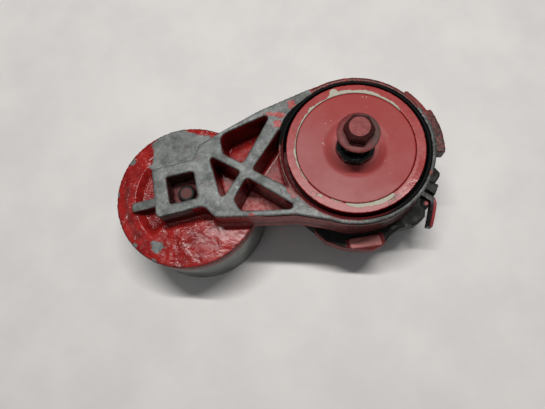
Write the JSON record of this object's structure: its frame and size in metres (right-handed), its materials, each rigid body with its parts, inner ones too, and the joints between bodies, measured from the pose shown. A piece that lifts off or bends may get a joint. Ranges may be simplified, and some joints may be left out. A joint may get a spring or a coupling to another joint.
{
  "type": "belt tensioner idler",
  "caption": "Spring-loaded belt tensioner: ribbed cast arm swinging on a round spring housing, flat steel idler pulley under a round guard, square wrench socket.",
  "frame": {"origin": "on the arm's pivot axis, where it meets the housing's mounting face", "axes": "+Z along the pivot axis from the mounting face towards the bolt head; the pulley stands on the -X side at rest"},
  "size_m": [0.2332, 0.1184, 0.1057],
  "materials": {
    "cast_aluminium_red": "worn red paint over grey cast aluminium, bare on the top faces",
    "cast_housing": "dark weathered casting with red overspray",
    "plate_paint": "semi-matt pinkish red paint on pressed steel",
    "friction_nylon": "cream nylon under red overspray, chipped at its inner edge",
    "black_steel": "glossy black oiled steel",
    "bolt_paint": "red overspray on a dark steel bolt",
    "seal_rubber": "black rubber",
    "nylon": "natural nylon",
    "spring_steel": "spring steel with red overspray on the outside tang",
    "pulley_steel": "smooth grey steel, polished by the belt",
    "bearing_steel": "ground bearing steel",
    "zinc_steel": "zinc plated steel"
  },
  "bodies": {
    "housing": {"spring_housing": "cast_housing", "torsion_spring": "spring_steel", "pivot_tube": "black_steel", "thrust_washer": "zinc_steel", "front_plate": "plate_paint", "friction_ring": "friction_nylon", "cone_spring": "spring_steel"},
    "arm": {"tension_arm": "cast_aluminium_red", "pivot_bushing": "nylon", "dust_seal": "seal_rubber", "pulley_spacer": "zinc_steel", "bearing_inner_race": "bearing_steel", "bearing_shield": "zinc_steel", "pulley_bolt": "zinc_steel"},
    "pulley": {"pulley_shell": "pulley_steel", "snap_ring": "black_steel", "pulley_dust_cover": "nylon", "bearing_outer_race": "bearing_steel", "bearing_seal_lower": "seal_rubber", "bearing_seal_upper": "seal_rubber"},
    "ball_set": {"bearing_balls": "bearing_steel", "bearing_cage": "nylon"},
    "bolt_carrier": {"bolt_retainer": "nylon"},
    "bolt": {"mounting_bolt": "bolt_paint"}
  },
  "joints": [
    {"name": "arm_swing", "type": "hinge", "parent": "housing", "child": "arm", "pos_m": [0, 0, 0.06], "axis": [0, 0, 1], "range_deg": [0, 45], "stiffness_Nm_per_rad": 23, "springref_deg": -62.45, "deforming": ["torsion_spring"]},
    {"name": "pulley_spin", "type": "hinge", "parent": "arm", "child": "pulley", "pos_m": [-0.1207, 0, 0.0235], "axis": [0, 0, 1], "continuous": true},
    {"name": "ball_set_spin", "type": "hinge", "parent": "arm", "child": "ball_set", "pos_m": [-0.1207, 0, 0.0235], "axis": [0, 0, 1], "continuous": true},
    {"name": "bolt_slide", "type": "slide", "parent": "housing", "child": "bolt_carrier", "axis": [0, 0, -1], "range_m": [0, 0.0163]},
    {"name": "bolt_spin", "type": "hinge", "parent": "bolt_carrier", "child": "bolt", "pos_m": [0, 0, 0.066], "axis": [0, 0, 1], "continuous": true}
  ],
  "couplings": [
    {"joint": "ball_set_spin", "follows": "pulley_spin", "ratio": 0.6304}
  ]
}
